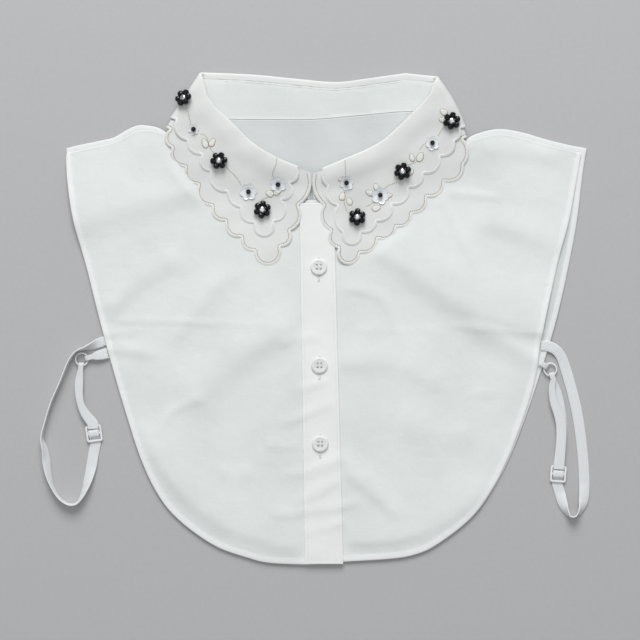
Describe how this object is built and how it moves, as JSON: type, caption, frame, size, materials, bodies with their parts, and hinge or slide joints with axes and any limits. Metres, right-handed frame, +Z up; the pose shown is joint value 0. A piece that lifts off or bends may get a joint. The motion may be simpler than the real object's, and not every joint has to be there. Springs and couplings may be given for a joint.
{
  "type": "lace collar",
  "caption": "Detachable blouse collar laid flat: half front and back, buttoned placket, tiered scalloped fall with bead flowers, and elastic side straps.",
  "frame": {"origin": "centre of the box in X and Y, at the surface that the back panel lies on", "axes": "+X across the shoulders to the viewer's right, +Y from the hem to the collar, +Z up from the surface"},
  "size_m": [0.3792, 0.3404, 0.0136],
  "materials": {
    "cotton": "matt plain weave",
    "organza": "fine sheer weave with a slight sheen",
    "elastic": "ribbed elastic webbing",
    "plastic": "smooth",
    "button_shell": "translucent, glossy",
    "beads": "faceted, glossy"
  },
  "bodies": {
    "root": {"back_panel": "cotton", "bead_flower_1": "beads", "bead_flower_2": "beads", "bead_flower_3": "beads", "bead_flower_4": "beads", "bead_flower_5": "beads", "bead_flower_6": "beads", "button_bottom": "button_shell", "button_middle": "button_shell", "button_top": "button_shell", "collar_lower_tier": "organza", "collar_stand": "cotton", "collar_upper_tier": "organza", "front_left": "cotton", "front_right": "cotton", "placket": "cotton", "ring_left": "plastic", "ring_right": "plastic", "slider_left": "plastic", "slider_right": "plastic", "strap_left": "elastic", "strap_right": "elastic", "tab_left": "elastic", "tab_right": "elastic"}
  },
  "joints": []
}
